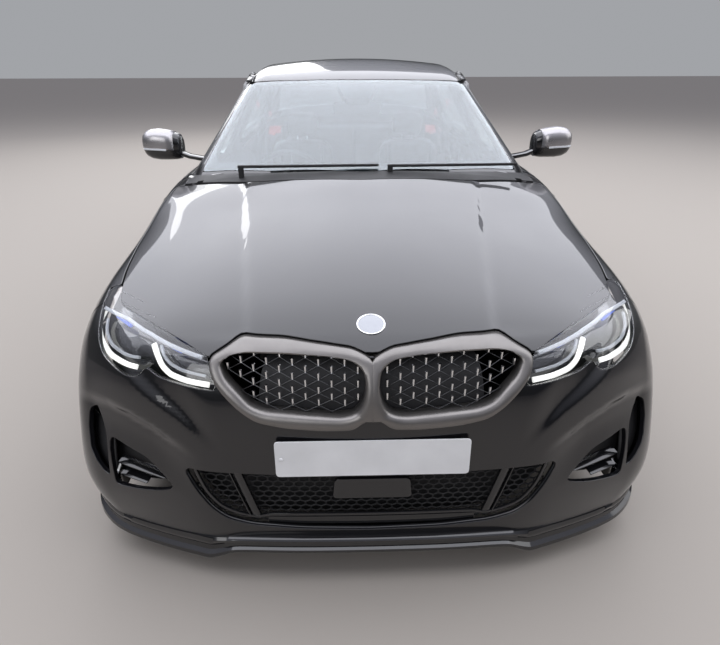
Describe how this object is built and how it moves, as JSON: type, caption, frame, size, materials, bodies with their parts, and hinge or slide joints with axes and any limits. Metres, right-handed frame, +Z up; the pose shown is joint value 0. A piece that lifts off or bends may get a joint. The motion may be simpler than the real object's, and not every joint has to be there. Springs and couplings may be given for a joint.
{
  "type": "sedan",
  "caption": "Four-door sedan with long bonnet, twin oval grille, slim headlamps, opening doors and lids, hollow cabin and boot, spoked wheels that spin and steer.",
  "frame": {"origin": "on the ground under the middle of the car's bounding box", "axes": "+Z up, -Y towards the nose, +X towards the car's left side"},
  "size_m": [2.068, 4.73, 1.449],
  "materials": {
    "paint": "glossy",
    "structure": "satin",
    "glass": "clear",
    "lamp_body": "glossy",
    "lamp_lens": "clear",
    "red_lens": "glossy",
    "satin_grey": "satin",
    "black_gloss": "glossy",
    "black_matte": "matte",
    "alloy": "satin",
    "tyre": "matte",
    "iron": "rough",
    "steel": "satin",
    "leather": "satin",
    "carpet": "matte"
  },
  "bodies": {
    "body_shell": {"side_frame_left": "paint", "side_frame_right": "paint", "roof_panel": "paint", "windscreen": "glass", "rear_window": "glass", "front_fender_left": "paint", "front_fender_right": "paint", "front_bumper": "paint", "grille_surround": "satin_grey", "grille_mesh": "black_gloss", "lower_grille": "black_gloss", "headlamp_left": "lamp_body", "headlamp_right": "lamp_body", "headlamp_lenses": "lamp_lens", "front_splitter": "black_gloss", "cowl_panel": "black_matte", "front_structure": "structure", "rear_bumper": "paint", "tail_lamps": "red_lens", "rear_diffuser": "black_gloss", "rear_deck": "paint", "rear_panel": "structure", "floor_pan": "carpet", "rear_liners": "black_matte", "front_liners": "black_matte", "front_subframe": "iron", "upper_arms": "alloy", "rear_subframe": "iron", "engine_block": "alloy", "exhaust": "steel", "front_seats": "leather", "rear_seat": "leather", "dashboard": "black_matte", "wipers": "black_matte"},
    "door_front_left": {"door_front_left": "paint", "glass_front_left": "glass", "mirror_left": "satin_grey"},
    "door_front_right": {"door_front_right": "paint", "glass_front_right": "glass", "mirror_right": "satin_grey"},
    "door_rear_left": {"door_rear_left": "paint", "glass_rear_left": "glass"},
    "door_rear_right": {"door_rear_right": "paint", "glass_rear_right": "glass"},
    "bonnet": {"bonnet": "paint"},
    "boot_lid": {"boot_lid": "paint", "lid_lamps": "red_lens"},
    "knuckle_left": {"knuckle_left": "iron"},
    "knuckle_right": {"knuckle_right": "iron"},
    "steering_wheel": {"steering_wheel": "leather"},
    "wheel_front_left": {"rim_front_left": "alloy", "tyre_front_left": "tyre"},
    "wheel_front_right": {"rim_front_right": "alloy", "tyre_front_right": "tyre"},
    "wheel_rear_left": {"rim_rear_left": "alloy", "tyre_rear_left": "tyre"},
    "wheel_rear_right": {"rim_rear_right": "alloy", "tyre_rear_right": "tyre"}
  },
  "joints": [
    {"name": "door_front_left_hinge", "type": "hinge", "parent": "body_shell", "child": "door_front_left", "pos_m": [0.884, -0.99, 0.55], "axis": [0, 0, -1], "range_deg": [0, 65]},
    {"name": "door_front_right_hinge", "type": "hinge", "parent": "body_shell", "child": "door_front_right", "pos_m": [-0.884, -0.99, 0.55], "axis": [0, 0, 1], "range_deg": [0, 65]},
    {"name": "door_rear_left_hinge", "type": "hinge", "parent": "body_shell", "child": "door_rear_left", "pos_m": [0.885, 0.057, 0.55], "axis": [0, 0, -1], "range_deg": [0, 65]},
    {"name": "door_rear_right_hinge", "type": "hinge", "parent": "body_shell", "child": "door_rear_right", "pos_m": [-0.885, 0.057, 0.55], "axis": [0, 0, 1], "range_deg": [0, 65]},
    {"name": "bonnet_hinge", "type": "hinge", "parent": "body_shell", "child": "bonnet", "pos_m": [0, -1.078, 0.931], "axis": [-1, 0, 0], "range_deg": [0, 50]},
    {"name": "boot_hinge", "type": "hinge", "parent": "body_shell", "child": "boot_lid", "pos_m": [0, 1.608, 1.058], "axis": [1, 0, 0], "range_deg": [0, 65]},
    {"name": "steer_left", "type": "hinge", "parent": "body_shell", "child": "knuckle_left", "pos_m": [0.7, -1.549, 0.331], "axis": [0, 0, 1], "range_deg": [-35, 35]},
    {"name": "steer_right", "type": "hinge", "parent": "body_shell", "child": "knuckle_right", "pos_m": [-0.7, -1.549, 0.331], "axis": [0, 0, 1], "range_deg": [-35, 35]},
    {"name": "steering_wheel_turn", "type": "hinge", "parent": "body_shell", "child": "steering_wheel", "pos_m": [-0.37, -0.4678, 0.8203], "axis": [0, 0.9063, 0.4226], "range_deg": [-490, 490]},
    {"name": "wheel_front_left_spin", "type": "hinge", "parent": "knuckle_left", "child": "wheel_front_left", "pos_m": [0.78, -1.549, 0.331], "axis": [1, 0, 0], "continuous": true},
    {"name": "wheel_front_right_spin", "type": "hinge", "parent": "knuckle_right", "child": "wheel_front_right", "pos_m": [-0.78, -1.549, 0.331], "axis": [1, 0, 0], "continuous": true},
    {"name": "wheel_rear_left_spin", "type": "hinge", "parent": "body_shell", "child": "wheel_rear_left", "pos_m": [0.772, 1.302, 0.331], "axis": [1, 0, 0], "continuous": true},
    {"name": "wheel_rear_right_spin", "type": "hinge", "parent": "body_shell", "child": "wheel_rear_right", "pos_m": [-0.772, 1.302, 0.331], "axis": [1, 0, 0], "continuous": true}
  ],
  "couplings": [
    {"joint": "steer_right", "follows": "steer_left", "ratio": 1},
    {"joint": "steering_wheel_turn", "follows": "steer_left", "ratio": 14}
  ]
}
